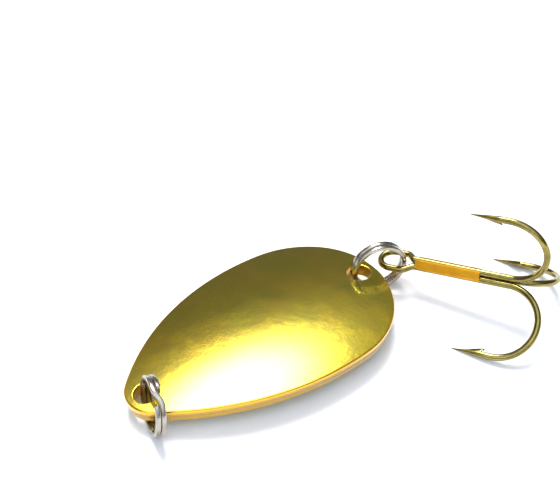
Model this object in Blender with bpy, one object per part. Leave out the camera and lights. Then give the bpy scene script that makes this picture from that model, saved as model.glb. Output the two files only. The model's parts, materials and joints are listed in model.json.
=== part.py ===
"""Spoon lure: a domed blade, two split rings and a brazed treble hook.

Frame: metres, +Z up. +X runs along the blade from its narrow head to its wide tail.
The lure lies on the plane Z = 0. The rings stand in their holes and two of the hooks
rest on that plane, with the third hook pointing up. The lure is laid out around the
middle of its blade, and moved at the end so that its whole box is centred on the origin.
"""
import math

import bmesh
import bpy
import numpy as np
from mathutils import Matrix, Vector

# ---- driving dimensions, in metres and degrees ----
BLADE_LENGTH = 0.0500
BLADE_WIDTH = 0.0310
BLADE_THICKNESS = 0.0025
HEAD_RADIUS = 0.0052
TAIL_RADIUS = 0.0153
CROWN_ALONG = 0.0018          # how far the dome falls from its middle to each end
CROWN_ACROSS = 0.0016         # how far it falls from its middle to each flank
RIM_ROUND = 0.0003
CROWN_SHIFT = 0.0050          # the face's middle point, towards the tail from the blade's middle
HOLE_RADIUS = 0.00205
HOLE_INSET = 0.0032           # from the blade's end to the hole's centre

BLADE_TOP = 0.00580           # height of the dome's middle above the resting plane
BLADE_ROLL = -4.0             # the +Y flank lies lower
BLADE_PITCH = 0.4             # the tail lies slightly higher

RING_OUTER_RADIUS = 0.00490
RING_WIRE_RADIAL = 0.00084
RING_WIRE_AXIAL = 0.00084
RING_COIL_GAP = 0.00006       # between the two coils
RING_STRAND_SHIFT = 0.00055   # the strand sits this far off the middle of its hole
RING_JOG_ARC = 34.0           # arc over which the wire steps from one coil to the next
RING_END_GAP = 1.5            # arc between the wire's end and the start of its step
RING_CORNER = 0.00018

FRONT_RING_HEADING = -107.8   # from the hole towards the ring's centre, about +Z from +X
FRONT_RING_LEAN = 83.4        # slope of the ring's plane
FRONT_RING_JOG = 84.0         # where the wire's step starts, as an angle round the ring
REAR_RING_HEADING = -19.4
REAR_RING_LEAN = 88.2
REAR_RING_JOG = 250.0

HOOK_WIRE_RADIUS = 0.00060
SHANK_CLEARANCE = 0.00003     # half the play between two neighbouring shanks
HOOK_BEND_RADIUS = 0.00625
HOOK_SHANK_LENGTH = 0.0209    # from the eye's centre to the start of the bend
HOOK_POINT_LENGTH = 0.0067    # from the end of the bend to the tip
HOOK_TIP_RADIUS = 0.00008
TAPER_START = 0.25            # share of the point that is still full wire
TAPER_POWER = 1.15            # above 1, the taper is slow at first
BARB_FROM_TIP = 0.0052        # from the tip to the barb's end
BARB_LENGTH = 0.0030
BARB_HEIGHT = 0.00055
BARB_STEP = 0.0001            # length of the barb's blunt end
BARB_SHARPNESS = 4            # how narrow the barb's ridge is across the wire
EYE_RADIUS = 0.00205          # wire centreline of the eye's round end
EYE_FORK = 0.0042             # where the eye's two legs meet as shanks
EYE_FORK_EASE = 0.0007        # how far the legs stay straight as they leave the fork
EYE_CHEEK = 0.0013            # from the fork back to where the legs start to close
SINGLE_SHANK_START = 0.0040
DOUBLE_SHANK_START = 0.0046
BRAZE_START = 0.0044
BRAZE_END = 0.0158
BRAZE_HALF_WIDTH = 0.00060
BRAZE_PROUD = 0.00008         # how far the flat braze stands above the wires
BRAZE_GAP = 0.00003

TREBLE_HEADING = -61.2
TREBLE_RISE = 7.7             # the shank climbs from the eye towards the bends
RING_IN_EYE = 0.0019          # from the eye's centre to the ring strand inside the eye

SURFACE_GAP = 0.00005         # play under whatever rests on the plane

# ---- how finely curves are divided ----
FLANK_STEPS = 30
HEAD_STEPS = 8
TAIL_STEPS = 12
BLADE_LOOPS = 7
RIM_STEPS = 2
CUTTER_SEGMENTS = 40
RING_STEPS_PER_TURN = 44
WIRE_SIDES = 10
SHANK_STEPS = 5
BEND_STEPS = 26
EYE_STEPS = 14
EYE_LEG_STEPS = 3
BRAZE_STEPS = 5

UP = Vector((0.0, 0.0, 1.0))
FORWARD = Vector((1.0, 0.0, 0.0))


def clear_scene():
    for item in list(bpy.data.objects):
        bpy.data.objects.remove(item, do_unlink=True)


def make_material(name, colour, roughness, metallic):
    material = bpy.data.materials.new(name)
    material.use_nodes = True
    shader = material.node_tree.nodes["Principled BSDF"]
    shader.inputs["Base Color"].default_value = (*colour, 1.0)
    shader.inputs["Roughness"].default_value = roughness
    shader.inputs["Metallic"].default_value = metallic
    return material


def add_object(name, bm, material, parent=None, sharp_angle=40.0):
    """Store a bmesh, given in world space, as an object whose origin is its parent's."""
    bmesh.ops.recalc_face_normals(bm, faces=bm.faces)
    if parent is not None:
        bmesh.ops.transform(bm, matrix=parent.matrix_world.inverted(), verts=bm.verts)
    mesh = bpy.data.meshes.new(name)
    bm.to_mesh(mesh)
    bm.free()
    mesh.shade_smooth()
    mesh.set_sharp_from_angle(angle=math.radians(sharp_angle))
    mesh.materials.append(material)
    item = bpy.data.objects.new(name, mesh)
    bpy.context.scene.collection.objects.link(item)
    item.parent = parent
    return item


def add_pivot(name, place):
    """An empty that stands on a joint's axis."""
    pivot = bpy.data.objects.new(name, None)
    pivot.empty_display_size = 0.002
    pivot.location = place
    bpy.context.scene.collection.objects.link(pivot)
    bpy.context.view_layer.update()
    return pivot


def join_rows(bm, rows):
    """Join closed rows of vertices, each to the next, with quads."""
    for row, following in zip(rows, rows[1:]):
        for i in range(len(row)):
            j = (i + 1) % len(row)
            bm.faces.new((row[i], row[j], following[j], following[i]))


def smoothstep(value):
    value = min(max(value, 0.0), 1.0)
    return value * value * (3 - 2 * value)


# ---- blade ----

def arc_points(centre, radius, start, end, steps):
    angles = [start + (end - start) * i / steps for i in range(steps)]
    return [centre + radius * Vector((math.cos(a), math.sin(a))) for a in angles]


def flank_arc(head, tail):
    """Centre and radius of the arc that meets the head and tail arcs and touches the full width."""
    half = BLADE_WIDTH / 2
    gap = tail.x - head.x
    head_slack = half - HEAD_RADIUS
    tail_slack = half - TAIL_RADIUS
    ratio = 1 - tail_slack / head_slack
    rest = gap ** 2 - tail_slack * (HEAD_RADIUS - TAIL_RADIUS)
    ahead = (gap - math.sqrt(gap ** 2 - ratio * rest)) / ratio
    radius = (ahead ** 2 / head_slack + HEAD_RADIUS + half) / 2
    return Vector((head.x + ahead, half - radius)), radius


def blade_outline():
    """Egg outline in the blade's own plane, counter-clockwise from the tail's tip."""
    head = Vector((HEAD_RADIUS - BLADE_LENGTH / 2, 0.0))
    tail = Vector((BLADE_LENGTH / 2 - TAIL_RADIUS, 0.0))
    flank, radius = flank_arc(head, tail)
    tail_angle = math.atan2(tail.y - flank.y, tail.x - flank.x)
    head_angle = math.atan2(head.y - flank.y, head.x - flank.x)
    upper = arc_points(tail, TAIL_RADIUS, 0.0, tail_angle, TAIL_STEPS)
    upper += arc_points(flank, radius, tail_angle, head_angle, FLANK_STEPS)
    upper += arc_points(head, HEAD_RADIUS, head_angle, math.pi, HEAD_STEPS)
    tip = Vector((-BLADE_LENGTH / 2, 0.0))
    return upper + [tip] + [Vector((p.x, -p.y)) for p in reversed(upper[1:])]


def blade_matrix():
    roll = Matrix.Rotation(math.radians(BLADE_ROLL), 4, "X")
    pitch = Matrix.Rotation(math.radians(-BLADE_PITCH), 4, "Y")
    return Matrix.Translation((0.0, 0.0, BLADE_TOP)) @ pitch @ roll


def dome_point(x, y, depth):
    """Point at a depth below the domed face, along the face's normal, in world space."""
    along = x / (BLADE_LENGTH / 2)
    across = y / (BLADE_WIDTH / 2)
    height = -CROWN_ALONG * along ** 2 - CROWN_ACROSS * across ** 2
    slope_x = 2 * CROWN_ALONG * along / (BLADE_LENGTH / 2)
    slope_y = 2 * CROWN_ACROSS * across / (BLADE_WIDTH / 2)
    normal = Vector((slope_x, slope_y, 1.0)).normalized()
    return blade_matrix() @ (Vector((x, y, height)) - depth * normal)


def inset_outline(outline, distance):
    """Move each outline point inwards, square to the outline there."""
    moved = []
    for i, point in enumerate(outline):
        tangent = (outline[(i + 1) % len(outline)] - outline[i - 1]).normalized()
        inward = Vector((-tangent.y, tangent.x))
        moved.append(point + distance * inward)
    return moved


def rim_profile():
    """(inset, depth) pairs of the rounded rim, from the domed face to the under face."""
    upper = []
    for step in range(RIM_STEPS + 1):
        angle = math.pi / 2 * step / RIM_STEPS
        upper.append((RIM_ROUND * (1 - math.sin(angle)), RIM_ROUND * (1 - math.cos(angle))))
    lower = [(inset, BLADE_THICKNESS - depth) for inset, depth in reversed(upper)]
    return upper + lower


def face_loops(border, depth):
    """Loops at a depth, growing from the middle of the face towards its border."""
    middle = Vector((CROWN_SHIFT, 0.0))
    loops = []
    for i in range(1, BLADE_LOOPS):
        spots = [middle.lerp(point, i / BLADE_LOOPS) for point in border]
        loops.append([dome_point(spot.x, spot.y, depth) for spot in spots])
    return loops


def build_blade(material):
    outline = blade_outline()
    flat = inset_outline(outline, RIM_ROUND)
    loops = face_loops(flat, 0.0)
    for inset, depth in rim_profile():
        loops.append([dome_point(p.x, p.y, depth) for p in inset_outline(outline, inset)])
    loops += reversed(face_loops(flat, BLADE_THICKNESS))
    bm = bmesh.new()
    rows = [[bm.verts.new(point) for point in loop] for loop in loops]
    join_rows(bm, rows)
    for row, depth in ((rows[0], 0.0), (rows[-1], BLADE_THICKNESS)):
        middle = bm.verts.new(dome_point(CROWN_SHIFT, 0.0, depth))
        for i, vertex in enumerate(row):
            bm.faces.new((middle, vertex, row[(i + 1) % len(row)]))
    blade = add_object("spoon_blade", bm, material)
    cut_hole(blade, "head_hole_cutter", -1)
    cut_hole(blade, "tail_hole_cutter", 1)
    return blade


def cut_hole(blade, name, side):
    """Punch a round upright hole, on which a ring turns."""
    bm = bmesh.new()
    bmesh.ops.create_cone(
        bm, cap_ends=True, segments=CUTTER_SEGMENTS, radius1=HOLE_RADIUS, radius2=HOLE_RADIUS,
        depth=3 * BLADE_THICKNESS, matrix=Matrix.Translation(hole_middle(side)),
    )
    cutter = add_object(name, bm, blade.data.materials[0])
    cutter.hide_render = True
    cutter.display_type = "WIRE"
    boolean = blade.modifiers.new(name, "BOOLEAN")
    boolean.operation = "DIFFERENCE"
    boolean.solver = "EXACT"
    boolean.object = cutter


def hole_middle(side):
    """Middle of the hole at the head (-1) or the tail (+1), half way through the blade."""
    return dome_point(side * (BLADE_LENGTH / 2 - HOLE_INSET), 0.0, BLADE_THICKNESS / 2)


# ---- swept wires ----

def swept_mesh(centres, sides, ups, sections):
    """Closed tube through the centres; each section is a list of (side, up) offsets."""
    bm = bmesh.new()
    rows = []
    for centre, side, up, section in zip(centres, sides, ups, sections):
        rows.append([bm.verts.new(centre + a * side + b * up) for a, b in section])
    join_rows(bm, rows)
    bm.faces.new(rows[0][::-1])
    bm.faces.new(rows[-1])
    return bm


# ---- split rings ----

class RingPlace:
    """Where a ring stands: through a hole, leaning, with its lowest edge on the plane."""

    def __init__(self, hole, heading, lean):
        heading = math.radians(heading)
        lean = math.radians(lean)
        mean = RING_OUTER_RADIUS - RING_WIRE_RADIAL / 2
        half_axial = RING_WIRE_AXIAL + RING_COIL_GAP / 2
        self.outward = Vector((math.cos(heading), math.sin(heading), 0.0))
        level = UP.cross(self.outward)
        self.rising = math.sin(lean) * UP + math.cos(lean) * level
        self.axis = self.outward.cross(self.rising)
        height = SURFACE_GAP + RING_OUTER_RADIUS * math.sin(lean) + half_axial * math.cos(lean)
        drop = (height - hole.z) / math.sin(lean)
        reach = math.sqrt(mean ** 2 - drop ** 2) - RING_STRAND_SHIFT
        self.centre = hole + reach * self.outward + drop * self.rising
        self.far_strand = self.centre + mean * self.outward


def cut_rectangle(half_a, half_b, corner):
    """Rectangle with its corners cut off, counter-clockwise."""
    inner_a = half_a - corner
    inner_b = half_b - corner
    return [
        (half_a, -inner_b), (half_a, inner_b), (inner_a, half_b), (-inner_a, half_b),
        (-half_a, inner_b), (-half_a, -inner_b), (-inner_a, -half_b), (inner_a, -half_b),
    ]


def build_split_ring(name, place, material, pivot, jog_at):
    """Two flat-sided coils of one wire, with a step where one coil passes to the other."""
    mean = RING_OUTER_RADIUS - RING_WIRE_RADIAL / 2
    pitch = RING_WIRE_AXIAL + RING_COIL_GAP
    jog = math.radians(RING_JOG_ARC)
    sweep = 4 * math.pi - jog - math.radians(RING_END_GAP)
    steps = 2 * RING_STEPS_PER_TURN
    section = cut_rectangle(RING_WIRE_RADIAL / 2, RING_WIRE_AXIAL / 2, RING_CORNER)
    centres, sides, ups = [], [], []
    for i in range(steps + 1):
        angle = sweep * i / steps
        rise = smoothstep((angle - 2 * math.pi + jog) / jog)
        turn = angle + math.radians(jog_at)
        radial = math.cos(turn) * place.outward + math.sin(turn) * place.rising
        centres.append(place.centre + mean * radial + pitch * (rise - 0.5) * place.axis)
        sides.append(radial)
        ups.append(place.axis)
    bm = swept_mesh(centres, sides, ups, [section] * len(centres))
    return add_object(name, bm, material, pivot)


# ---- treble hook ----

def treble_matrix(eye_centre):
    heading = Matrix.Rotation(math.radians(TREBLE_HEADING), 4, "Z")
    rise = Matrix.Rotation(math.radians(-TREBLE_RISE), 4, "Y")
    return Matrix.Translation(eye_centre) @ heading @ rise


def shank_offset():
    """Distance of each shank's middle from the treble's own axis."""
    return (HOOK_WIRE_RADIUS + SHANK_CLEARANCE) * 2 / math.sqrt(3)


def outward_at(turn):
    """Direction away from the treble's axis, at an angle about it from straight up."""
    return Vector((0.0, math.sin(turn), math.cos(turn)))


def wire_section(radius, ridge=0.0):
    """Round section, listed from its +up side, which may be raised into a ridge."""
    points = []
    for i in range(WIRE_SIDES):
        angle = 2 * math.pi * i / WIRE_SIDES
        lift = ridge * max(math.cos(angle), 0.0) ** BARB_SHARPNESS
        points.append((radius * math.sin(angle), radius * math.cos(angle) + lift))
    return points


def point_radius(from_tip):
    share = 1 - from_tip / HOOK_POINT_LENGTH
    taper = max(0.0, (share - TAPER_START) / (1 - TAPER_START))
    return HOOK_WIRE_RADIUS + (HOOK_TIP_RADIUS - HOOK_WIRE_RADIUS) * taper ** TAPER_POWER


def point_marks():
    """(distance from the tip, height of the barb's ridge) along a hook's point."""
    foot = BARB_FROM_TIP - BARB_LENGTH
    return [
        ((HOOK_POINT_LENGTH + BARB_FROM_TIP) / 2, 0.0),
        (BARB_FROM_TIP, 0.0),
        (BARB_FROM_TIP - BARB_STEP, BARB_HEIGHT),
        ((BARB_FROM_TIP + foot) / 2, BARB_HEIGHT / 2),
        (foot, 0.0),
        (foot / 2, 0.0),
        (0.0, 0.0),
    ]


def hook_wire(turn, shank_start):
    """(place, up direction, section) of each row of one hook, from its shank's start to its tip."""
    outward = outward_at(turn)
    plain = wire_section(HOOK_WIRE_RADIUS)
    rows = []
    for x in np.linspace(shank_start, HOOK_SHANK_LENGTH, SHANK_STEPS).tolist():
        rows.append((shank_offset() * outward + x * FORWARD, outward, plain))
    bend = HOOK_SHANK_LENGTH * FORWARD + (shank_offset() + HOOK_BEND_RADIUS) * outward
    for i in range(1, BEND_STEPS + 1):
        angle = math.pi * i / BEND_STEPS
        radial = math.sin(angle) * FORWARD - math.cos(angle) * outward
        rows.append((bend + HOOK_BEND_RADIUS * radial, -radial, plain))
    end = bend + HOOK_BEND_RADIUS * outward
    for from_tip, ridge in point_marks():
        place = end - (HOOK_POINT_LENGTH - from_tip) * FORWARD
        rows.append((place, -outward, wire_section(point_radius(from_tip), ridge)))
    return rows


def eye_rows():
    """Rows of the eye from the +Y shank round to the -Y shank, in the shanks' plane."""
    half_gap = HOOK_WIRE_RADIUS + SHANK_CLEARANCE
    curve = [
        Vector((EYE_FORK, half_gap)), Vector((EYE_FORK - EYE_FORK_EASE, half_gap)),
        Vector((EYE_FORK - EYE_CHEEK, EYE_RADIUS)), Vector((EYE_RADIUS, EYE_RADIUS)),
    ]
    leg = []
    for i in range(EYE_STEPS):
        t = i / EYE_STEPS
        weights = ((1 - t) ** 3, 3 * t * (1 - t) ** 2, 3 * t * t * (1 - t), t ** 3)
        leg.append(sum((w * p for w, p in zip(weights, curve)), Vector((0.0, 0.0))))
    leg += [Vector((EYE_RADIUS * (1 - i / EYE_LEG_STEPS), EYE_RADIUS)) for i in range(EYE_LEG_STEPS)]
    arc = []
    for i in range(EYE_STEPS + 1):
        angle = math.pi / 2 + math.pi * i / EYE_STEPS
        arc.append(EYE_RADIUS * Vector((math.cos(angle), math.sin(angle))))
    flat = leg + arc + [Vector((p.x, -p.y)) for p in reversed(leg)]
    plain = wire_section(HOOK_WIRE_RADIUS)
    third = outward_at(2 * math.pi / 3)
    rows = []
    for i, point in enumerate(flat):
        tangent = (flat[min(i + 1, len(flat) - 1)] - flat[max(i - 1, 0)]).normalized()
        away = Vector((tangent.y, -tangent.x, 0.0))
        up = third.y * away + third.z * UP
        rows.append((Vector((point.x, point.y, -shank_offset() / 2)), up, plain))
    return rows


def swept_rows(rows, matrix):
    """Tube through rows of (place, up direction, section), placed by a matrix."""
    places = [place for place, _, _ in rows]
    sides, ups = [], []
    for i, (_, up, _) in enumerate(rows):
        tangent = (places[min(i + 1, len(rows) - 1)] - places[max(i - 1, 0)]).normalized()
        square_up = (up - up.dot(tangent) * tangent).normalized()
        ups.append(square_up)
        sides.append(tangent.cross(square_up))
    bm = swept_mesh(places, sides, ups, [section for _, _, section in rows])
    bmesh.ops.transform(bm, matrix=matrix, verts=bm.verts)
    return bm


def build_single_hook(matrix, material, pivot):
    bm = swept_rows(hook_wire(0.0, SINGLE_SHANK_START), matrix)
    return add_object("treble_single_hook", bm, material, pivot)


def build_double_hook(matrix, material, pivot):
    """One wire: tip, bend, shank, eye, shank, bend, tip."""
    third = 2 * math.pi / 3
    first = hook_wire(third, DOUBLE_SHANK_START)
    second = hook_wire(-third, DOUBLE_SHANK_START)
    bm = swept_rows(first[::-1] + eye_rows() + second, matrix)
    return add_object("treble_double_hook", bm, material, pivot)


def build_braze_seam(name, turn, matrix, material, pivot):
    """Solder that fills the groove between two shanks, with a flat outer face."""
    outward = outward_at(turn)
    across = FORWARD.cross(outward)
    half_gap = HOOK_WIRE_RADIUS + SHANK_CLEARANCE
    base = shank_offset() / 2
    clear = HOOK_WIRE_RADIUS + BRAZE_GAP
    face = base + HOOK_WIRE_RADIUS + BRAZE_PROUD
    start = math.acos((half_gap - BRAZE_HALF_WIDTH) / clear)
    end = math.acos((half_gap - BRAZE_GAP) / clear)
    right = []
    for i in range(BRAZE_STEPS + 1):
        angle = start + (end - start) * i / BRAZE_STEPS
        right.append((half_gap - clear * math.cos(angle), base + clear * math.sin(angle)))
    left = [(-a, b) for a, b in reversed(right)]
    section = [(BRAZE_HALF_WIDTH, face)] + right + left + [(-BRAZE_HALF_WIDTH, face)]
    centres = [BRAZE_START * FORWARD, BRAZE_END * FORWARD]
    bm = swept_mesh(centres, [across] * 2, [outward] * 2, [section] * 2)
    bmesh.ops.transform(bm, matrix=matrix, verts=bm.verts)
    return add_object(name, bm, material, pivot)


def lowest_hook_reach(matrix):
    """Height of the lower hooks' lowest surface when the eye's centre is at height zero."""
    heights = []
    for place, _, section in hook_wire(2 * math.pi / 3, SINGLE_SHANK_START):
        radius = -min(b for _, b in section)
        heights.append((matrix @ place).z - radius)
    return min(heights)


def stand_on_origin():
    """Move the lure so that the middle of its box, seen from above, stands on the origin."""
    bpy.context.view_layer.update()
    graph = bpy.context.evaluated_depsgraph_get()
    corners = []
    for item in bpy.data.objects:
        if item.type == "MESH" and not item.hide_render:
            shape = item.evaluated_get(graph)
            corners += [item.matrix_world @ v.co for v in shape.data.vertices]
    low = Vector([min(c[k] for c in corners) for k in range(3)])
    high = Vector([max(c[k] for c in corners) for k in range(3)])
    shift = Vector((-(low.x + high.x) / 2, -(low.y + high.y) / 2, -low.z))
    for item in bpy.data.objects:
        if item.parent is None:
            item.location += shift
    bpy.context.view_layer.update()


def main():
    clear_scene()
    gold = make_material("gold_plate", (0.62, 0.48, 0.04), 0.12, 1.0)
    nickel = make_material("nickel_wire", (0.62, 0.60, 0.55), 0.22, 1.0)
    bronze = make_material("bronzed_wire", (0.42, 0.33, 0.10), 0.25, 1.0)
    braze = make_material("orange_braze", (0.65, 0.30, 0.01), 0.45, 0.6)

    build_blade(gold)

    front = RingPlace(hole_middle(-1), FRONT_RING_HEADING, FRONT_RING_LEAN)
    rear = RingPlace(hole_middle(1), REAR_RING_HEADING, REAR_RING_LEAN)
    front_pivot = add_pivot("front_ring_pivot", hole_middle(-1))
    rear_pivot = add_pivot("rear_ring_pivot", hole_middle(1))
    build_split_ring("front_split_ring", front, nickel, front_pivot, FRONT_RING_JOG)
    build_split_ring("rear_split_ring", rear, nickel, rear_pivot, REAR_RING_JOG)

    treble_pivot = add_pivot("treble_pivot", rear.far_strand)
    slope = treble_matrix(Vector())
    eye_centre = rear.far_strand - RING_IN_EYE * (slope @ FORWARD)
    eye_centre.z = SURFACE_GAP - lowest_hook_reach(slope)
    matrix = treble_matrix(eye_centre)
    build_double_hook(matrix, bronze, treble_pivot)
    build_single_hook(matrix, bronze, treble_pivot)
    build_braze_seam("treble_braze_right", math.radians(60), matrix, braze, treble_pivot)
    build_braze_seam("treble_braze_left", math.radians(-60), matrix, braze, treble_pivot)
    build_braze_seam("treble_braze_under", math.radians(180), matrix, braze, treble_pivot)
    stand_on_origin()


main()
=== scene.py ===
"""Looks of the spoon lure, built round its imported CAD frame.

Everything is in metres and degrees, in the frame's own axes. Each shape follows the same
driving dimensions as its CAD node, more finely divided, and is placed by the frame's joints.
"""
import json
import math

import bmesh
import bpy
import numpy as np
from mathutils import Matrix, Vector, noise
from mathutils.geometry import delaunay_2d_cdt


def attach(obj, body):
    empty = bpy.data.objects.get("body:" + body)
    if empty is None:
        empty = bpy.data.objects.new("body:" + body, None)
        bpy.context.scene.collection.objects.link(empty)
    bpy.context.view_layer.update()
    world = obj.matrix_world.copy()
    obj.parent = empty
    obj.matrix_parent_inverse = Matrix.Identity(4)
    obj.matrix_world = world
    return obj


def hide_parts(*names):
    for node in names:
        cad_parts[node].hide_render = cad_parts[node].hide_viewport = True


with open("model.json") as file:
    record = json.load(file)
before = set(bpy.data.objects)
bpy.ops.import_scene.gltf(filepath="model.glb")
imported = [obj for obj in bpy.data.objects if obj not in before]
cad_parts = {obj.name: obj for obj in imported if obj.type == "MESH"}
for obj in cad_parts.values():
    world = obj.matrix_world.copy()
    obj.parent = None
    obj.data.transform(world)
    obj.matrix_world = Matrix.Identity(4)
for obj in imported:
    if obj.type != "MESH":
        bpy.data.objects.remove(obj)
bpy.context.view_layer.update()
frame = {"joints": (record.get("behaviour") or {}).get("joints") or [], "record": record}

# ---- dimensions shared with the CAD part ----
BLADE_LENGTH = 0.0500
BLADE_WIDTH = 0.0310
BLADE_THICKNESS = 0.0025
HEAD_RADIUS = 0.0052
TAIL_RADIUS = 0.0153
CROWN_ALONG = 0.0018
CROWN_ACROSS = 0.0016
HOLE_RADIUS = 0.00205
HOLE_INSET = 0.0032
BLADE_TOP = 0.00580
BLADE_ROLL = -4.0
BLADE_PITCH = 0.4

RING_OUTER_RADIUS = 0.00490
RING_WIRE_RADIAL = 0.00084
RING_WIRE_AXIAL = 0.00084
RING_COIL_GAP = 0.00006
RING_STRAND_SHIFT = 0.00055
RING_JOG_ARC = 34.0
RING_END_GAP = 1.5
FRONT_RING_HEADING = -107.8
FRONT_RING_LEAN = 83.4
FRONT_RING_JOG = 84.0
REAR_RING_HEADING = -19.4
REAR_RING_LEAN = 88.2
REAR_RING_JOG = 250.0

HOOK_WIRE_RADIUS = 0.00060
SHANK_CLEARANCE = 0.00003
HOOK_BEND_RADIUS = 0.00625
HOOK_SHANK_LENGTH = 0.0209
HOOK_POINT_LENGTH = 0.0067
EYE_RADIUS = 0.00205
EYE_FORK = 0.0042
EYE_FORK_EASE = 0.0007
EYE_CHEEK = 0.0013
SINGLE_SHANK_START = 0.0040
DOUBLE_SHANK_START = 0.0046
BRAZE_START = 0.0044
BRAZE_END = 0.0158
BRAZE_PROUD = 0.00008
TREBLE_HEADING = -61.2
TREBLE_RISE = 7.7
RING_IN_EYE = 0.0019
SURFACE_GAP = 0.00005

# ---- finer shapes ----
OUTLINE_STEP = 0.0004         # spacing of points along the blade's outline
GRID_STEP = 0.00038           # spacing of points over the blade's faces
GRID_CLEARANCE = 0.7          # of a grid step, between the grid and the borders
SPOT_ROUNDS = 6               # rounds in which a spot on the domed face settles
RIM_TOP_ROUND = 0.00034
RIM_BOTTOM_ROUND = 0.00026
RIM_SKIN = 0.00001            # how far the rim stays inside the CAD's faceted one
SHEAR_DEPTH = 0.00125         # where the smooth cut ends and the torn band starts
SHEAR_STEP = 0.00003
SMOOTH_CUT_ROW = 0.6          # share of the smooth cut's depth at which it has a row of its own
HOLE_EDGE_ROUND = 0.00022
HOLE_SIDES = 72
ROUND_STEPS = 7
RIPPLES = ((0.0062, 0.0000050), (0.0019, 0.0000022))    # wavelength and height of the waves

RING_CORNER = 0.00027
RING_STEPS_PER_TURN = 190
CORNER_STEPS = 6
RING_END_ROUND = 0.00010
RING_END_SCALES = (0.72, 0.92)    # the section's size at a cut end and just inside it

WIRE_SIDES = 32
SHANK_STEPS = 28
BEND_STEPS = 60
EYE_STEPS = 26
EYE_LEG_STEPS = 4
POINT_STEPS = 26
TAPER_START = 0.18            # share of the point's length where its taper starts
TAPER_POWER = 1.2
CAD_TIP_RADIUS = 0.00008
HOOK_TIP_RADIUS = 0.000035
WIRE_SKIN = 0.00003           # how far the round wire stays inside the CAD's faceted one
TIP_FADE = 0.0012             # length over which the tip's dark colour fades
BARB_LIP = 0.0050             # from the tip to the root of the barb's lip
BARB_FOOT = 0.0021            # from the tip to the foot of the barb's ramp
BARB_HEIGHT = 0.00060
BARB_OVERHANG = 0.00080       # how far the lip leans back towards the bend
BARB_NOTCH = 0.00010          # how deep the cut under the lip goes into the wire
BARB_NOTCH_LENGTH = 0.0011
BARB_NOTCH_ROWS = (           # distance behind the lip's root, and share of the notch's depth
    (BARB_NOTCH_LENGTH, 0.0),
    (0.0007, 0.4),
    (0.0002, 1.0),
)
BARB_RIDGE_ROWS = (           # distance ahead of the lip's root, and shares of height and overhang
    (0.0, 0.15, 0.25),
    (0.0001, 0.62, 0.72),
    (0.0002, 1.0, 1.0),
    (0.0003, 0.98, 0.85),
    (0.0007, 0.80, 0.30),
    (0.0013, 0.52, 0.0),
    (0.0020, 0.22, 0.0),
)
BARB_SHARPNESS = 5            # power that narrows the barb's ridge

BRAZE_STEPS = 80
BRAZE_WRAP = 24.0             # how far round each wire the solder reaches
BRAZE_WRAP_AT_END = 0.25      # share of that at the seam's start
BRAZE_WRAP_CHANGE = 0.22      # share by which that wanders along the seam
BRAZE_WRAP_WAVELENGTH = 0.0016
BRAZE_WRAP_STEPS = 4
BRAZE_FACE_STEPS = 5
BRAZE_ROOT_STEPS = 8
BRAZE_ROOT_ANGLE = 80.0       # how far down each wire's inner side the solder fills the groove
BRAZE_ROOT_DEPTH = 0.94       # share of the wire's radius at which the solder starts
BRAZE_SKIN = 0.000015
BRAZE_TAPER = 0.0011
BRAZE_WAVE = 0.000030
BRAZE_WAVELENGTH = 0.0011     # of the waves along the seam
BRAZE_WAVE_WIDTH = 0.0007     # and across it

SHARP_ANGLE = 38.0            # edges sharper than this stay sharp

UP = Vector((0.0, 0.0, 1.0))
FORWARD = Vector((1.0, 0.0, 0.0))
THIRD = 2 * math.pi / 3
CDT_WHOLE_HULL = 0            # keeps every triangle inside the outline, the holes' own too
CDT_MERGE_DISTANCE = 1e-8
record = frame["record"]


def smoothstep(value):
    value = min(max(value, 0.0), 1.0)
    return value * value * (3 - 2 * value)


# ---- the blade's shape ----

def blade_outline():
    """Egg outline in the blade's own plane, counter-clockwise from the tail's tip."""
    half = BLADE_WIDTH / 2
    head_x = HEAD_RADIUS - BLADE_LENGTH / 2
    tail_x = BLADE_LENGTH / 2 - TAIL_RADIUS
    gap = tail_x - head_x
    head_slack = half - HEAD_RADIUS
    tail_slack = half - TAIL_RADIUS
    ratio = 1 - tail_slack / head_slack
    rest = gap ** 2 - tail_slack * (HEAD_RADIUS - TAIL_RADIUS)
    ahead = (gap - math.sqrt(gap ** 2 - ratio * rest)) / ratio
    flank_radius = (ahead ** 2 / head_slack + HEAD_RADIUS + half) / 2
    flank = Vector((head_x + ahead, half - flank_radius))
    tail_angle = math.atan2(-flank.y, tail_x - flank.x)
    head_angle = math.atan2(-flank.y, head_x - flank.x)
    upper = outline_arc(Vector((tail_x, 0.0)), TAIL_RADIUS, 0.0, tail_angle)
    upper += outline_arc(flank, flank_radius, tail_angle, head_angle)
    upper += outline_arc(Vector((head_x, 0.0)), HEAD_RADIUS, head_angle, math.pi)
    tip = Vector((-BLADE_LENGTH / 2, 0.0))
    return upper + [tip] + [Vector((p.x, -p.y)) for p in reversed(upper[1:])]


def outline_arc(centre, radius, start, end):
    steps = round(radius * (end - start) / OUTLINE_STEP)
    angles = [start + (end - start) * i / steps for i in range(steps)]
    return [centre + radius * Vector((math.cos(a), math.sin(a))) for a in angles]


def blade_matrix():
    roll = Matrix.Rotation(math.radians(BLADE_ROLL), 4, "X")
    pitch = Matrix.Rotation(math.radians(-BLADE_PITCH), 4, "Y")
    return Matrix.Translation((0.0, 0.0, BLADE_TOP)) @ pitch @ roll


def dome_point(x, y, depth):
    """Point at a depth below the domed face, along the face's normal."""
    along = x / (BLADE_LENGTH / 2)
    across = y / (BLADE_WIDTH / 2)
    height = -CROWN_ALONG * along ** 2 - CROWN_ACROSS * across ** 2
    slope_x = 2 * CROWN_ALONG * along / (BLADE_LENGTH / 2)
    slope_y = 2 * CROWN_ACROSS * across / (BLADE_WIDTH / 2)
    normal = Vector((slope_x, slope_y, 1.0)).normalized()
    return blade_matrix() @ (Vector((x, y, height)) - depth * normal)


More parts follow.
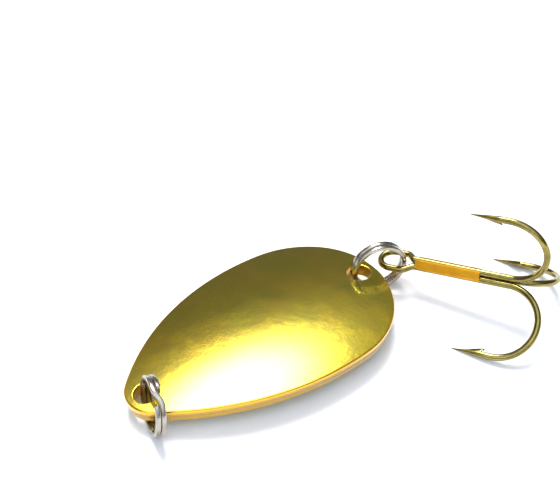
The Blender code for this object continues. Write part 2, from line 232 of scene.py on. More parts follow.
def ripple(x, y):
    """Small waves left by stamping and polishing, never above the true face."""
    total = 0.0
    for wavelength, height in RIPPLES:
        total += height * (1 + noise.noise(Vector((x, y, 0.0)) / wavelength))
    return total


def hole_middle(side):
    """Middle of the hole at the head (-1) or the tail (+1), half way through the blade."""
    return dome_point(side * (BLADE_LENGTH / 2 - HOLE_INSET), 0.0, BLADE_THICKNESS / 2)


def plane_spot(place, depth):
    """Where in the blade's own plane an upright line through the place meets a depth."""
    spot = place.xy
    for _ in range(SPOT_ROUNDS):
        spot = spot - (dome_point(spot.x, spot.y, depth).xy - place.xy)
    return spot


def hole_loop(side, radius, depth):
    middle = hole_middle(side)
    loop = []
    for i in range(HOLE_SIDES):
        angle = 2 * math.pi * i / HOLE_SIDES
        edge = middle + radius * Vector((math.cos(angle), math.sin(angle), 0.0))
        loop.append(plane_spot(edge, depth))
    return loop


def inset_loop(loop, distance):
    """Move each point of a loop inwards, square to the loop there."""
    moved = []
    for i, point in enumerate(loop):
        tangent = (loop[(i + 1) % len(loop)] - loop[i - 1]).normalized()
        moved.append(point + distance * Vector((-tangent.y, tangent.x)))
    return moved


def quarter_round(radius, outwards):
    """(inset, depth) pairs of a rounded edge that starts flat, or that ends flat."""
    pairs = []
    for i in range(ROUND_STEPS + 1):
        angle = math.pi / 2 * i / ROUND_STEPS
        pairs.append((radius * (1 - math.sin(angle)), radius * (1 - math.cos(angle))))
    return pairs if outwards else [(a, radius - b) for a, b in reversed(pairs)]


def edge_profile(top_round, bottom_round, shear_depth, shear_step):
    """(inset, depth) pairs of a punched edge, from the top face round to the under face."""
    foot = BLADE_THICKNESS - bottom_round
    pairs = quarter_round(top_round, True)
    pairs += [(0.0, shear_depth * SMOOTH_CUT_ROW), (0.0, shear_depth)]
    pairs += [(shear_step, shear_depth + 2 * shear_step), (shear_step, (shear_depth + foot) / 2)]
    for inset, drop in quarter_round(bottom_round, False):
        pairs.append((shear_step + inset, foot + drop))
    return pairs


def fill_sheet(bm, loops, depth):
    """Triangulate a face of the blade between its borders. Returns each border's vertices."""
    points = [point for loop in loops for point in loop]
    loop_of = {}
    edges = []
    for number, loop in enumerate(loops):
        start = len(loop_of)
        for i in range(len(loop)):
            loop_of[start + i] = number
            edges.append((start + i, start + (i + 1) % len(loop)))
    points += grid_points(loops)
    result = delaunay_2d_cdt(points, edges, [], CDT_WHOLE_HULL, CDT_MERGE_DISTANCE, True)
    _, _, faces, origins, _, _ = result
    vertices = []
    for x, y in points:
        sunk = ripple(x, y) if depth == 0.0 else 0.0
        vertices.append(bm.verts.new(dome_point(x, y, depth + sunk)))
    for face in faces:
        corners = [origins[index][0] for index in face]
        owners = {loop_of.get(corner) for corner in corners}
        inside_hole = len(owners) == 1 and None not in owners
        if not inside_hole:
            bm.faces.new([vertices[corner] for corner in corners])
    rows = []
    start = 0
    for loop in loops:
        rows.append(vertices[start:start + len(loop)])
        start += len(loop)
    return rows


def inside_loop(places, loop):
    """For each place, whether it lies inside a convex counter-clockwise loop."""
    corner = np.array([tuple(point) for point in loop])
    along = np.roll(corner, -1, axis=0) - corner
    away = places[:, None] - corner
    return np.all(along[:, 0] * away[..., 1] - along[:, 1] * away[..., 0] > 0, axis=1)


def grid_points(loops):
    """Even triangular grid over a face of the blade, kept a little off its borders."""
    outline, *holes = loops
    border = np.array([tuple(point) for loop in loops for point in loop])
    row_step = GRID_STEP * math.sqrt(3) / 2
    rows = int(BLADE_WIDTH / row_step)
    points = []
    for row in range(rows):
        xs = np.arange(-BLADE_LENGTH / 2 + (row % 2) * GRID_STEP / 2, BLADE_LENGTH / 2, GRID_STEP)
        places = np.column_stack((xs, np.full(len(xs), (row - rows / 2) * row_step)))
        near = np.min(np.linalg.norm(places[:, None] - border, axis=2), axis=1)
        kept = inside_loop(places, outline) & (near > GRID_STEP * GRID_CLEARANCE)
        for hole in holes:
            kept &= ~inside_loop(places, hole)
        points += [Vector(place) for place in places[kept].tolist()]
    return points


def stitch(bm, rows):
    """Join closed rows of vertices, each to the next, with quads."""
    for row, following in zip(rows, rows[1:]):
        for i in range(len(row)):
            j = (i + 1) % len(row)
            bm.faces.new((row[i], row[j], following[j], following[i]))


def border_loop(index, inset, depth):
    """Border of the outline (0), the head's hole (1) or the tail's (2), drawn into the metal."""
    if index == 0:
        return inset_loop(blade_outline(), RIM_SKIN + inset)
    side = 2 * index - 3
    return hole_loop(side, HOLE_RADIUS + inset, depth)


def build_blade():
    rim = edge_profile(RIM_TOP_ROUND, RIM_BOTTOM_ROUND, SHEAR_DEPTH, SHEAR_STEP)
    hole = edge_profile(HOLE_EDGE_ROUND, HOLE_EDGE_ROUND, SHEAR_DEPTH, 0.0)
    profiles = (rim, hole, hole)
    bm = bmesh.new()
    edge_layer = bm.verts.layers.float.new("edge")
    top_loops = [border_loop(index, *profile[0]) for index, profile in enumerate(profiles)]
    bottom_loops = [border_loop(index, *profile[-1]) for index, profile in enumerate(profiles)]
    top = fill_sheet(bm, top_loops, 0.0)
    bottom = fill_sheet(bm, bottom_loops, BLADE_THICKNESS)
    for index, profile in enumerate(profiles):
        rows = [top[index]]
        for inset, depth in profile[1:-1]:
            loop = border_loop(index, inset, depth)
            row = [bm.verts.new(dome_point(spot.x, spot.y, depth)) for spot in loop]
            for vertex in row:
                vertex[edge_layer] = 1.0
            rows.append(row)
        rows.append(bottom[index])
        stitch(bm, rows)
    return bm


# ---- swept wires ----

def sweep(centres, sides, ups, sections, coords):
    """Closed tube. A section is a list of (side, up, ahead) offsets; coords are arc lengths."""
    bm = bmesh.new()
    straight = bm.verts.layers.float_vector.new("straight")
    rows = []
    for centre, side, up, section, along in zip(centres, sides, ups, sections, coords):
        ahead = side.cross(up)
        row = []
        for a, b, c in section:
            vertex = bm.verts.new(centre + a * side + b * up + c * ahead)
            vertex[straight] = (along + c, a, b)
            row.append(vertex)
        rows.append(row)
    stitch(bm, rows)
    bm.faces.new(rows[0][::-1])
    bm.faces.new(rows[-1])
    return bm


def arc_lengths(points):
    total = 0.0
    lengths = [0.0]
    for before, after in zip(points, points[1:]):
        total += (after - before).length
        lengths.append(total)
    return lengths


def scaled(section, factor):
    return [(a * factor, b * factor, c) for a, b, c in section]


# ---- split rings ----

class RingPlace:
    """Where a ring stands: through a hole, leaning, with its lowest edge on the plane."""

    def __init__(self, hole, heading, lean):
        heading = math.radians(heading)
        lean = math.radians(lean)
        mean = RING_OUTER_RADIUS - RING_WIRE_RADIAL / 2
        half_axial = RING_WIRE_AXIAL + RING_COIL_GAP / 2
        self.outward = Vector((math.cos(heading), math.sin(heading), 0.0))
        level = UP.cross(self.outward)
        self.rising = math.sin(lean) * UP + math.cos(lean) * level
        self.axis = self.outward.cross(self.rising)
        height = SURFACE_GAP + RING_OUTER_RADIUS * math.sin(lean) + half_axial * math.cos(lean)
        drop = (height - hole.z) / math.sin(lean)
        reach = math.sqrt(mean ** 2 - drop ** 2) - RING_STRAND_SHIFT
        self.centre = hole + reach * self.outward + drop * self.rising
        self.far_strand = self.centre + mean * self.outward


def rounded_section(half_a, half_b, corner):
    """Rectangle with round corners, counter-clockwise."""
    points = []
    for turn, (sign_a, sign_b) in enumerate(((1, 1), (-1, 1), (-1, -1), (1, -1))):
        for i in range(CORNER_STEPS + 1):
            angle = math.pi / 2 * (turn + i / CORNER_STEPS)
            a = sign_a * (half_a - corner) + corner * math.cos(angle)
            b = sign_b * (half_b - corner) + corner * math.sin(angle)
            points.append((a, b, 0.0))
    return points


def build_ring(place, jog_at):
    """Two coils of one wire, with a step where one coil passes to the other."""
    mean = RING_OUTER_RADIUS - RING_WIRE_RADIAL / 2
    pitch = RING_WIRE_AXIAL + RING_COIL_GAP
    jog = math.radians(RING_JOG_ARC)
    sweep_angle = 4 * math.pi - jog - math.radians(RING_END_GAP)
    steps = 2 * RING_STEPS_PER_TURN
    section = rounded_section(RING_WIRE_RADIAL / 2, RING_WIRE_AXIAL / 2, RING_CORNER)
    end_angle = RING_END_ROUND / mean
    angles = [0.0, end_angle / 3]
    angles += np.linspace(end_angle, sweep_angle - end_angle, steps).tolist()
    angles += [sweep_angle - end_angle / 3, sweep_angle]
    end_sections = [scaled(section, factor) for factor in RING_END_SCALES]
    sections = end_sections + [section] * steps + end_sections[::-1]
    centres, sides, ups = [], [], []
    for angle in angles:
        rise = smoothstep((angle - 2 * math.pi + jog) / jog)
        turn = angle + math.radians(jog_at)
        radial = math.cos(turn) * place.outward + math.sin(turn) * place.rising
        centres.append(place.centre + mean * radial + pitch * (rise - 0.5) * place.axis)
        sides.append(radial)
        ups.append(place.axis)
    return sweep(centres, sides, ups, sections, arc_lengths(centres))


# ---- treble hook ----

def treble_matrix(eye_centre):
    heading = Matrix.Rotation(math.radians(TREBLE_HEADING), 4, "Z")
    rise = Matrix.Rotation(math.radians(-TREBLE_RISE), 4, "Y")
    return Matrix.Translation(eye_centre) @ heading @ rise


def outward_at(turn):
    """Direction away from the treble's axis at an angle about it from straight up."""
    return Vector((0.0, math.sin(turn), math.cos(turn)))


def shank_offset():
    """Distance of each shank's middle from the treble's own axis."""
    return (HOOK_WIRE_RADIUS + SHANK_CLEARANCE) * 2 / math.sqrt(3)


def barb_profile():
    """(distance from the tip, ridge height, lean towards the tip) down the barb, notch first."""
    rows = [(BARB_LIP + behind, -BARB_NOTCH * depth, 0.0) for behind, depth in BARB_NOTCH_ROWS]
    for ahead, height, lean in BARB_RIDGE_ROWS:
        rows.append((BARB_LIP - ahead, BARB_HEIGHT * height, -BARB_OVERHANG * lean))
    return rows + [(BARB_FOOT, 0.0, 0.0)]


def wire_section(radius, ridge=0.0, lean=0.0):
    """Round section, whose side facing +up may be raised, cut or leant along the wire."""
    points = []
    for i in range(WIRE_SIDES):
        angle = 2 * math.pi * i / WIRE_SIDES
        share = max(math.sin(angle), 0.0) ** BARB_SHARPNESS
        a = radius * math.cos(angle)
        b = radius * math.sin(angle) + ridge * share
        points.append((a, b, lean * share))
    return points


def point_radius(from_tip):
    """Wire radius at a distance from the tip: a long even taper with a needle end."""
    share = 1 - from_tip / HOOK_POINT_LENGTH
    taper = max(0.0, (share - TAPER_START) / (1 - TAPER_START))
    full = HOOK_WIRE_RADIUS - WIRE_SKIN
    return full + (HOOK_TIP_RADIUS - full) * taper ** TAPER_POWER


def hook_wire(turn, shank_start):
    """Points, up directions and sections of one hook, from its shank's start to its tip."""
    outward = outward_at(turn)
    plain = wire_section(HOOK_WIRE_RADIUS - WIRE_SKIN)
    rows = []
    for x in np.linspace(shank_start, HOOK_SHANK_LENGTH, SHANK_STEPS).tolist():
        rows.append((shank_offset() * outward + x * FORWARD, outward, plain))
    bend = HOOK_SHANK_LENGTH * FORWARD + (shank_offset() + HOOK_BEND_RADIUS) * outward
    for i in range(1, BEND_STEPS + 1):
        angle = math.pi * i / BEND_STEPS
        radial = math.sin(angle) * FORWARD - math.cos(angle) * outward
        rows.append((bend + HOOK_BEND_RADIUS * radial, -radial, plain))
    end = bend + HOOK_BEND_RADIUS * outward
    distances = np.linspace(HOOK_POINT_LENGTH, 0.0, POINT_STEPS + 1)[1:].tolist()
    barb_end = BARB_LIP + BARB_NOTCH_LENGTH
    marks = [(away, 0.0, 0.0) for away in distances if not BARB_FOOT <= away <= barb_end]
    for from_tip, ridge, lean in sorted(marks + barb_profile(), key=lambda mark: -mark[0]):
        place = end - (HOOK_POINT_LENGTH - from_tip) * FORWARD
        rows.append((place, -outward, wire_section(point_radius(from_tip), ridge, lean)))
    return rows


def lowest_hook_reach(slope):
    """Height of the lower hooks' tips, the lowest part, when the eye's centre is at height zero."""
    tip, _, _ = hook_wire(THIRD, SINGLE_SHANK_START)[-1]
    return (slope @ tip).z - CAD_TIP_RADIUS


def treble_place(rear):
    """Where the treble lies: its eye on the rear ring, its lowest tips just above the surface."""
    slope = treble_matrix(Vector())
    eye_centre = rear.far_strand - slope @ (RING_IN_EYE * FORWARD)
    eye_centre.z = SURFACE_GAP - lowest_hook_reach(slope)
    return treble_matrix(eye_centre)


def eye_rows():
    """The eye from the +Y shank round to the -Y shank, in the shanks' plane."""
    half_gap = HOOK_WIRE_RADIUS + SHANK_CLEARANCE
    curve = [
        Vector((EYE_FORK, half_gap)), Vector((EYE_FORK - EYE_FORK_EASE, half_gap)),
        Vector((EYE_FORK - EYE_CHEEK, EYE_RADIUS)), Vector((EYE_RADIUS, EYE_RADIUS)),
    ]
    side = []
    for i in range(EYE_STEPS):
        t = i / EYE_STEPS
        weights = ((1 - t) ** 3, 3 * t * (1 - t) ** 2, 3 * t * t * (1 - t), t ** 3)
        side.append(sum((w * p for w, p in zip(weights, curve)), Vector((0.0, 0.0))))
    for i in range(EYE_LEG_STEPS):
        side.append(Vector((EYE_RADIUS * (1 - i / EYE_LEG_STEPS), EYE_RADIUS)))
    arc = []
    for i in range(EYE_STEPS + 1):
        angle = math.pi / 2 + math.pi * i / EYE_STEPS
        arc.append(EYE_RADIUS * Vector((math.cos(angle), math.sin(angle))))
    flat = side + arc + [Vector((p.x, -p.y)) for p in reversed(side)]
    plain = wire_section(HOOK_WIRE_RADIUS - WIRE_SKIN)
    third = outward_at(THIRD)
    rows = []
    for i, point in enumerate(flat):
        tangent = (flat[min(i + 1, len(flat) - 1)] - flat[max(i - 1, 0)]).normalized()
        away = Vector((tangent.y, -tangent.x, 0.0))
        up = third.y * away + third.z * UP
        rows.append((Vector((point.x, point.y, -shank_offset() / 2)), up, plain))
    return rows


def sweep_rows(rows, matrix):
    points = [row[0] for row in rows]
    ups, sides = [], []
    for i, (_, up, _) in enumerate(rows):
        tangent = (points[min(i + 1, len(rows) - 1)] - points[max(i - 1, 0)]).normalized()
        up = (up - up.dot(tangent) * tangent).normalized()
        ups.append(up)
        sides.append(up.cross(tangent))
    bm = sweep(points, sides, ups, [row[2] for row in rows], arc_lengths(points))
    bmesh.ops.transform(bm, matrix=matrix, verts=bm.verts)
    return bm


def reversed_rows(rows):
    """The same wire walked from its tip, with each section's side and lean swapped to match."""
    turned = []
    for place, up, section in reversed(rows):
        turned.append((place, up, [(-a, b, -c) for a, b, c in reversed(section)]))
    return turned


def align(section):
    """Start a section's list at its +side point, so that rows join without a twist."""
    start = max(range(len(section)), key=lambda i: section[i][0])
    return section[start:] + section[:start]


def build_double_hook(matrix):
    """One wire: tip, bend, shank, eye, shank, bend, tip."""
    rows = reversed_rows(hook_wire(THIRD, DOUBLE_SHANK_START))
    rows += eye_rows()
    rows += hook_wire(-THIRD, DOUBLE_SHANK_START)
    return sweep_rows([(place, up, align(section)) for place, up, section in rows], matrix)


def build_single_hook(matrix):
    return sweep_rows(hook_wire(0.0, SINGLE_SHANK_START), matrix)


def braze_section(share, turn):
    """Solder over the groove between two shanks, at a share of the seam's length."""
    half_gap = HOOK_WIRE_RADIUS + SHANK_CLEARANCE
    base = shank_offset() / 2
    along = share * (BRAZE_END - BRAZE_START)
    taper = smoothstep(along / BRAZE_TAPER)
    wander = 1 + BRAZE_WRAP_CHANGE * noise.noise(Vector((along / BRAZE_WRAP_WAVELENGTH, turn, 0.5)))
    reached = BRAZE_WRAP_AT_END + (1 - BRAZE_WRAP_AT_END) * taper
    wrap = math.radians(BRAZE_WRAP * reached * wander)
    upper, lower = [], []
    for i in range(BRAZE_WRAP_STEPS + 1):
        inward = i / BRAZE_WRAP_STEPS
        angle = wrap * (1 - inward)
        reach = HOOK_WIRE_RADIUS + BRAZE_SKIN + (BRAZE_PROUD - BRAZE_SKIN) * inward * taper
        upper.append((half_gap + reach * math.sin(angle), base + reach * math.cos(angle)))
    for i in range(1, BRAZE_FACE_STEPS + 1):
        a = half_gap * (1 - i / BRAZE_FACE_STEPS)
        wave = noise.noise(Vector((along / BRAZE_WAVELENGTH, a / BRAZE_WAVE_WIDTH, turn)))
        sunk = min(BRAZE_WAVE * wave, 0.0)
        upper.append((a, base + HOOK_WIRE_RADIUS + BRAZE_PROUD * taper + sunk))
    reach = HOOK_WIRE_RADIUS * BRAZE_ROOT_DEPTH
    for i in range(BRAZE_ROOT_STEPS + 1):
        angle = wrap - (wrap + math.radians(BRAZE_ROOT_ANGLE)) * i / BRAZE_ROOT_STEPS
        lower.append((half_gap + reach * math.sin(angle), base + reach * math.cos(angle)))
    half = lower[::-1] + upper
    mirrored = [(-a, b) for a, b in reversed(half[:-1])]
    return [(a, b, 0.0) for a, b in half + mirrored]


def build_braze(turn, matrix):
    outward = outward_at(turn)
    across = FORWARD.cross(outward)
    shares = [i / BRAZE_STEPS for i in range(BRAZE_STEPS + 1)]
    xs = [BRAZE_START + (BRAZE_END - BRAZE_START) * share for share in shares]
    centres = [x * FORWARD for x in xs]
    sections = [braze_section(share, turn) for share in shares]
    bm = sweep(centres, [across] * len(xs), [outward] * len(xs), sections, xs)
    bmesh.ops.transform(bm, matrix=matrix, verts=bm.verts)
    return bm


# ---- materials ----

MIX_SHARE = 0                 # a Mix node's sockets for colours
MIX_FIRST = 6
MIX_SECOND = 7
MIX_RESULT = 2
NOISE_SPAN = (0.3, 0.7)       # the range that a noise mostly stays in


class Graph:
    """Adds nodes to a tree. An input given as a socket is linked, and any other is set."""

    def __init__(self, tree):
        self.tree = tree
        tree.nodes.clear()

    def add(self, kind, inputs=(), **settings):
        node = self.tree.nodes.new(kind)
        for key, value in settings.items():
            setattr(node, key, value)
        for key, value in dict(inputs).items():
            if isinstance(value, bpy.types.NodeSocket):
                self.tree.links.new(value, node.inputs[key])
            else:
                node.inputs[key].default_value = value
        return node

    def place(self):
        return self.add("ShaderNodeTexCoord").outputs["Object"]

    def maths(self, operation, *values):
        return self.add("ShaderNodeMath", dict(enumerate(values)), operation=operation).outputs[0]

    def noise(self, vector, scale, detail=2.0, rough=0.5):
        settings = {"Vector": vector, "Scale": scale, "Detail": detail, "Roughness": rough}
        return self.add("ShaderNodeTexNoise", settings).outputs["Fac"]

    def cells(self, vector, scale):
        return self.add("ShaderNodeTexVoronoi", {"Vector": vector, "Scale": scale}).outputs

    def stretch(self, vector, scale):
        return self.add("ShaderNodeMapping", {"Vector": vector, "Scale": scale}).outputs["Vector"]

    def spread(self, value, span, to=(0.0, 1.0)):
        """Map a value from one range to another, clamped."""
        names = ("Value", "From Min", "From Max", "To Min", "To Max")
        return self.add("ShaderNodeMapRange", zip(names, (value, *span, *to))).outputs["Result"]

    def blend(self, share, first, second):
        """Colour between two, each a colour or a socket, by a share that is a socket."""
        inputs = {MIX_SHARE: share}
        for index, colour in ((MIX_FIRST, first), (MIX_SECOND, second)):
            is_socket = isinstance(colour, bpy.types.NodeSocket)
            inputs[index] = colour if is_socket else (*colour, 1.0)
        return self.add("ShaderNodeMix", inputs, data_type="RGBA").outputs[MIX_RESULT]

    def attribute(self, name, output):
        return self.add("ShaderNodeAttribute", attribute_name=name).outputs[output]

    def bump(self, height, distance, below=None):
        inputs = {"Height": height, "Distance": distance, "Strength": 1.0}
        if below is not None:
            inputs["Normal"] = below
        return self.add("ShaderNodeBump", inputs).outputs["Normal"]

    def finish(self, inputs):
        shader = self.add("ShaderNodeBsdfPrincipled", inputs)
        self.add("ShaderNodeOutputMaterial", {"Surface": shader.outputs[0]})


def new_material(name):
    material = bpy.data.materials.new(name)
    material.use_nodes = True
    return material, Graph(material.node_tree)


# texture scales are in features per metre, and bump heights in metres
GOLD_GREEN = (0.58, 0.48, 0.003)
GOLD_WARM = (0.68, 0.49, 0.004)
GOLD_EDGE = (0.84, 0.47, 0.006)
GOLD_TONE_SCALE = 150.0
GOLD_TONE_SPAN = (0.35, 0.65)
GOLD_SMUDGE_SCALE = 330.0
GOLD_SMUDGE_SPAN = (0.3, 0.72)
GOLD_ROUGHNESS = (0.10, 0.17)
GOLD_SCRATCH_SCALE = (500.0, 6000.0, 6000.0)
GOLD_SCRATCH_SPAN = (0.62, 0.8)
GOLD_SCRATCH_ROUGHNESS = 0.08
GOLD_EDGE_ROUGHNESS = 0.10
GOLD_PEEL_SCALE = 1150.0
GOLD_PEEL_HEIGHT = 0.000012
GOLD_SPECK_SCALE = 260.0
GOLD_SPECK_REACH = (0.02, 0.07)      # of a cell, from a speck's top to its foot
GOLD_SPECK_CHOICE = (0.86, 0.88)     # only cells whose random value is above this hold one
GOLD_SPECK_HEIGHT = 0.000012
GOLD_LACQUER = {"Coat Weight": 1.0, "Coat Roughness": 0.18, "Coat IOR": 1.5}


def gold_material():
    """Bright lacquered gold plate over a stamped blank, with a faint orange peel."""
    material, graph = new_material("gold_plate_look")
    place = graph.place()
    edge = graph.attribute("edge", "Fac")
    tone = graph.noise(place, GOLD_TONE_SCALE, detail=3.0)
    colour = graph.blend(graph.spread(tone, GOLD_TONE_SPAN), GOLD_GREEN, GOLD_WARM)
    colour = graph.blend(edge, colour, GOLD_EDGE)
    smudge = graph.noise(place, GOLD_SMUDGE_SCALE, detail=4.0, rough=0.62)
    roughness = graph.spread(smudge, GOLD_SMUDGE_SPAN, GOLD_ROUGHNESS)
    scratch = graph.noise(graph.stretch(place, GOLD_SCRATCH_SCALE), 1.0)
    scratched = graph.spread(scratch, GOLD_SCRATCH_SPAN, (0.0, GOLD_SCRATCH_ROUGHNESS))
    roughness = graph.maths("ADD", roughness, scratched)
    roughness = graph.maths("ADD", roughness, graph.maths("MULTIPLY", edge, GOLD_EDGE_ROUGHNESS))
    peel = graph.noise(place, GOLD_PEEL_SCALE, rough=0.55)
    cells = graph.cells(place, GOLD_SPECK_SCALE)
    speck = graph.spread(cells["Distance"], GOLD_SPECK_REACH, (1.0, 0.0))
    chosen = graph.add("ShaderNodeSeparateColor", {"Color": cells["Color"]}).outputs[0]
    speck = graph.maths("MULTIPLY", speck, graph.spread(chosen, GOLD_SPECK_CHOICE))
    normal = graph.bump(peel, GOLD_PEEL_HEIGHT)
    normal = graph.bump(speck, GOLD_SPECK_HEIGHT, normal)
    graph.finish({
        "Base Color": colour, "Metallic": 1.0, "Roughness": roughness, "Normal": normal,
        **GOLD_LACQUER,
    })
    return material


NICKEL_BRIGHT = (0.50, 0.47, 0.41)
NICKEL_WORN = (0.33, 0.30, 0.25)
NICKEL_ROUGHNESS = (0.16, 0.30)
BRONZE_BRIGHT = (0.36, 0.29, 0.085)
BRONZE_WORN = (0.18, 0.14, 0.04)
BRONZE_TIP = (0.10, 0.085, 0.045)
BRONZE_ROUGHNESS = (0.09, 0.19)
WIRE_LINE_SCALE = (350.0, 5200.0, 5200.0)
WIRE_LINE_SHARE = 0.35        # of the wear that follows the lines, the rest being patches
WIRE_LINE_HEIGHT = 0.0000010
WIRE_PATCH_SCALE = 420.0
WIRE_PATCH_HEIGHT = 0.0000040
WIRE_WORN_SPAN = (0.38, 0.62)


def wire_material(name, bright, worn, tip, roughness_span):
    """Drawn plated wire: fine lines along it, patches of thinner plating and small dents."""
    material, graph = new_material(name)
    straight = graph.attribute("straight", "Vector")
    lines = graph.noise(graph.stretch(straight, WIRE_LINE_SCALE), 1.0, detail=3.0, rough=0.6)
    patches = graph.noise(graph.place(), WIRE_PATCH_SCALE, detail=4.0, rough=0.6)
    patch_wear = graph.maths("MULTIPLY", patches, 1 - WIRE_LINE_SHARE)
    wear = graph.maths("MULTIPLY_ADD", lines, WIRE_LINE_SHARE, patch_wear)
    colour = graph.blend(graph.spread(wear, WIRE_WORN_SPAN), bright, worn)
    if tip is not None:
        colour = graph.blend(graph.attribute("tip", "Fac"), colour, tip)
    roughness = graph.spread(lines, NOISE_SPAN, roughness_span)
    normal = graph.bump(lines, WIRE_LINE_HEIGHT)
    normal = graph.bump(patches, WIRE_PATCH_HEIGHT, normal)
    graph.finish({"Base Color": colour, "Metallic": 1.0, "Roughness": roughness, "Normal": normal})
    return material


BRAZE_BRIGHT = (0.76, 0.36, 0.006)
BRAZE_DULL = (0.62, 0.27, 0.004)
BRAZE_METALLIC = 0.55
BRAZE_ROUGHNESS = (0.34, 0.52)
BRAZE_FLOW_SCALE = (420.0, 1500.0, 1500.0)
BRAZE_FLOW_SPAN = (0.32, 0.68)
BRAZE_FLOW_HEIGHT = 0.000018
BRAZE_PIT_SCALE = 1900.0
BRAZE_PIT_REACH = (0.05, 0.22)       # of a cell, from a pit's bottom to its edge
BRAZE_PIT_HEIGHT = 0.000006


def braze_material():
    """Orange brazing metal, wiped flat: satin, with flow marks and small pits."""
    material, graph = new_material("orange_braze_look")
    straight = graph.attribute("straight", "Vector")
    flow = graph.noise(graph.stretch(straight, BRAZE_FLOW_SCALE), 1.0, detail=4.0, rough=0.6)
    colour = graph.blend(graph.spread(flow, BRAZE_FLOW_SPAN), BRAZE_BRIGHT, BRAZE_DULL)
    roughness = graph.spread(flow, NOISE_SPAN, BRAZE_ROUGHNESS)
    pit = graph.spread(graph.cells(graph.place(), BRAZE_PIT_SCALE)["Distance"], BRAZE_PIT_REACH)
    normal = graph.bump(flow, BRAZE_FLOW_HEIGHT)
    normal = graph.bump(pit, BRAZE_PIT_HEIGHT, normal)
    graph.finish({
        "Base Color": colour, "Metallic": BRAZE_METALLIC, "Roughness": roughness, "Normal": normal,
    })
    return material


CARD_GREY = (0.90, 0.90, 0.905)
CARD_WHITE = (0.93, 0.93, 0.93)
CARD_ROUGHNESS = 0.85
CARD_TOOTH_SCALE = 900.0
CARD_TOOTH_HEIGHT = 0.000010


def floor_material():
    """Matt white card with a faint tooth."""
    material, graph = new_material("white_card")
    tooth = graph.noise(graph.place(), CARD_TOOTH_SCALE, detail=3.0)
    colour = graph.blend(graph.spread(tooth, NOISE_SPAN), CARD_GREY, CARD_WHITE)
    normal = graph.bump(tooth, CARD_TOOTH_HEIGHT)
    graph.finish({"Base Color": colour, "Roughness": CARD_ROUGHNESS, "Normal": normal})
    return material


# ---- pieces ----

def joint_place(name):
    return Vector(next(joint["pos_m"] for joint in frame["joints"] if joint["name"] == name))


def add_piece(name, node, bm, material, shift):
    """Store a shape as a piece that stands for a CAD node and moves with its body."""
    bmesh.ops.translate(bm, vec=shift, verts=bm.verts)
    bmesh.ops.recalc_face_normals(bm, faces=bm.faces)
    mesh = bpy.data.meshes.new(name)
    bm.to_mesh(mesh)
    bm.free()
    mesh.shade_smooth()
    mesh.set_sharp_from_angle(angle=math.radians(SHARP_ANGLE))
    mesh.materials.append(material)
    piece = bpy.data.objects.new(name, mesh)
    bpy.context.scene.collection.objects.link(piece)
    body = next(body for body, nodes in record["behaviour"]["bodies"].items() if node in nodes)
    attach(piece, body)
    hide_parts(node)


def mark_tips(bm, matrix):
    """Mark each hook's last stretch for the tip's colour: 1 at the tip, 0 where it has faded."""
    inverse = matrix.inverted()
    layer = bm.verts.layers.float.new("tip")
    tip_x = HOOK_SHANK_LENGTH - HOOK_POINT_LENGTH
    for vertex in bm.verts:
        local = inverse @ vertex.co
        if math.hypot(local.y, local.z) > HOOK_BEND_RADIUS:
            vertex[layer] = smoothstep(1 - (local.x - tip_x) / TIP_FADE)


def build_pieces():
    shift = joint_place("front_ring_swing") - hole_middle(-1)
    gold = gold_material()
    nickel = wire_material("nickel_wire_look", NICKEL_BRIGHT, NICKEL_WORN, None, NICKEL_ROUGHNESS)
    bronze = wire_material("bronzed_wire_look", BRONZE_BRIGHT, BRONZE_WORN, BRONZE_TIP,
                           BRONZE_ROUGHNESS)
    braze = braze_material()
    front = RingPlace(hole_middle(-1), FRONT_RING_HEADING, FRONT_RING_LEAN)
    rear = RingPlace(hole_middle(1), REAR_RING_HEADING, REAR_RING_LEAN)
    front_coils = build_ring(front, FRONT_RING_JOG)
    rear_coils = build_ring(rear, REAR_RING_JOG)
    matrix = treble_place(rear)
    double = build_double_hook(matrix)
    single = build_single_hook(matrix)
    mark_tips(double, matrix)
    mark_tips(single, matrix)

    add_piece("gold_blade", "spoon_blade", build_blade(), gold, shift)
    add_piece("front_ring_coils", "front_split_ring", front_coils, nickel, shift)
    add_piece("rear_ring_coils", "rear_split_ring", rear_coils, nickel, shift)
    add_piece("double_hook_wire", "treble_double_hook", double, bronze, shift)
    add_piece("single_hook_wire", "treble_single_hook", single, bronze, shift)
    for side, turn in (("right", THIRD / 2), ("left", -THIRD / 2), ("under", math.pi)):
        add_piece(f"braze_{side}", f"treble_braze_{side}", build_braze(turn, matrix), braze, shift)


# ---- stage, light and camera ----

FLOOR_SIZE = 3.0
CAMERA_TARGET = Vector((0.00387, 0.02233, 0.00040))
CAMERA_AZIMUTH = -37.28
CAMERA_ELEVATION = 44.53
CAMERA_DISTANCE = 0.2407
CAMERA_LENS = 87.1
SENSOR_WIDTH = 36.0
CLIP_START = 0.01
CLIP_END = 10.0
ROOM_STOPS = (                # height of the direction, and the room's colour there
    (0.0, (0.16, 0.165, 0.18)),
    (0.5, (0.20, 0.205, 0.22)),
    (0.80, (0.24, 0.25, 0.28)),
    (0.97, (0.9, 0.92, 1.0)),
)
SOFTBOXES = (                 # azimuth, elevation, angular radius, strength and colour
    (62.0, 61.0, 11.5, 30.0, (1.0, 0.995, 0.97)),
    (58.0, 62.0, 21.0, 0.70, (1.0, 1.0, 1.0)),
    (-125.0, 52.0, 40.0, 1.60, (0.77, 0.86, 1.0)),
    (100.0, 30.0, 17.0, 0.34, (1.0, 0.60, 0.15)),
)
FILL_SIZE = 0.5
FILL_ENERGY = 0.90
FILL_COLOUR = (0.78, 0.88, 1.0)
FILL_AZIMUTH = -165.0
FILL_ELEVATION = 38.0
FILL_DISTANCE = 0.9


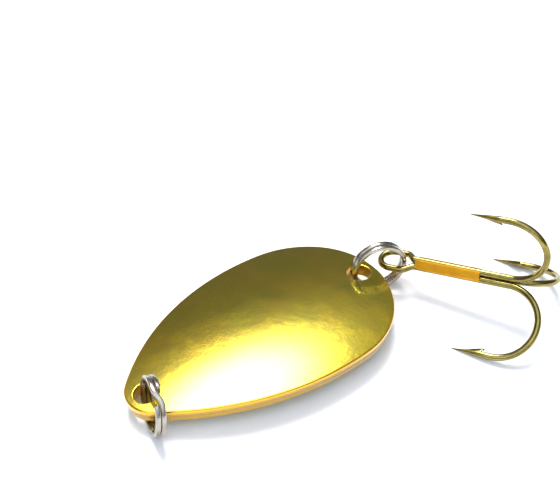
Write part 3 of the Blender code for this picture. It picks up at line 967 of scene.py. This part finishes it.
def add_floor():
    bm = bmesh.new()
    bmesh.ops.create_grid(bm, x_segments=1, y_segments=1, size=FLOOR_SIZE / 2)
    mesh = bpy.data.meshes.new("floor")
    bm.to_mesh(mesh)
    bm.free()
    mesh.materials.append(floor_material())
    floor = bpy.data.objects.new("floor", mesh)
    bpy.context.scene.collection.objects.link(floor)


def direction(azimuth, elevation):
    """Unit vector at an azimuth from +X towards +Y and an elevation above the floor."""
    azimuth = math.radians(azimuth)
    elevation = math.radians(elevation)
    flat = math.cos(elevation)
    return Vector((flat * math.cos(azimuth), flat * math.sin(azimuth), math.sin(elevation)))


def softbox_glow(graph, view, azimuth, elevation, radius, strength, colour):
    """Round patch of light in the room, even in its middle and soft at its edge."""
    inputs = {0: view, 1: direction(azimuth, elevation)}
    facing = graph.add("ShaderNodeVectorMath", inputs, operation="DOT_PRODUCT").outputs["Value"]
    turned = graph.maths("SUBTRACT", 1.0, facing)
    away = graph.maths("DIVIDE", turned, 1 - math.cos(math.radians(radius)))
    fading = graph.maths("MULTIPLY", graph.maths("MULTIPLY", away, away), -1.0)
    glow = graph.maths("EXPONENT", fading)
    inputs = {"Color": (*colour, 1.0), "Strength": graph.maths("MULTIPLY", glow, strength)}
    return graph.add("ShaderNodeBackground", inputs).outputs[0]


def add_world():
    """Dim room with soft patches of light, the first of which is the main light."""
    world = bpy.data.worlds.new("studio")
    bpy.context.scene.world = world
    world.use_nodes = True
    graph = Graph(world.node_tree)
    view = graph.add("ShaderNodeTexCoord").outputs["Generated"]
    height = graph.add("ShaderNodeSeparateXYZ", {0: view}).outputs["Z"]
    room = graph.add("ShaderNodeValToRGB", {"Fac": height})
    ramp = room.color_ramp
    while len(ramp.elements) < len(ROOM_STOPS):
        ramp.elements.new(0.5)
    for element, (place, colour) in zip(ramp.elements, ROOM_STOPS):
        element.position = place
        element.color = (*colour, 1.0)
    light = graph.add("ShaderNodeBackground", {"Color": room.outputs["Color"]}).outputs[0]
    for softbox in SOFTBOXES:
        glow = softbox_glow(graph, view, *softbox)
        light = graph.add("ShaderNodeAddShader", {0: light, 1: glow}).outputs[0]
    graph.add("ShaderNodeOutputWorld", {"Surface": light})


def add_fill():
    """Large faint softbox on the camera's left."""
    light = bpy.data.lights.new("fill_softbox", "AREA")
    light.size = FILL_SIZE
    light.energy = FILL_ENERGY
    light.color = FILL_COLOUR
    lamp = bpy.data.objects.new("fill_softbox", light)
    place = CAMERA_TARGET + FILL_DISTANCE * direction(FILL_AZIMUTH, FILL_ELEVATION)
    lamp.location = place
    lamp.rotation_euler = (CAMERA_TARGET - place).to_track_quat("-Z", "Y").to_euler()
    bpy.context.scene.collection.objects.link(lamp)


def add_camera():
    data = bpy.data.cameras.new("camera")
    data.lens = CAMERA_LENS
    data.sensor_width = SENSOR_WIDTH
    data.clip_start = CLIP_START
    data.clip_end = CLIP_END
    camera = bpy.data.objects.new("camera", data)
    back = direction(CAMERA_AZIMUTH - 90.0, CAMERA_ELEVATION)
    camera.location = CAMERA_TARGET + CAMERA_DISTANCE * back
    camera.rotation_euler = (-back).to_track_quat("-Z", "Y").to_euler()
    bpy.context.scene.collection.objects.link(camera)
    bpy.context.scene.camera = camera


build_pieces()
add_floor()
add_world()
add_fill()
add_camera()
bpy.context.scene.view_settings.view_transform = "Standard"
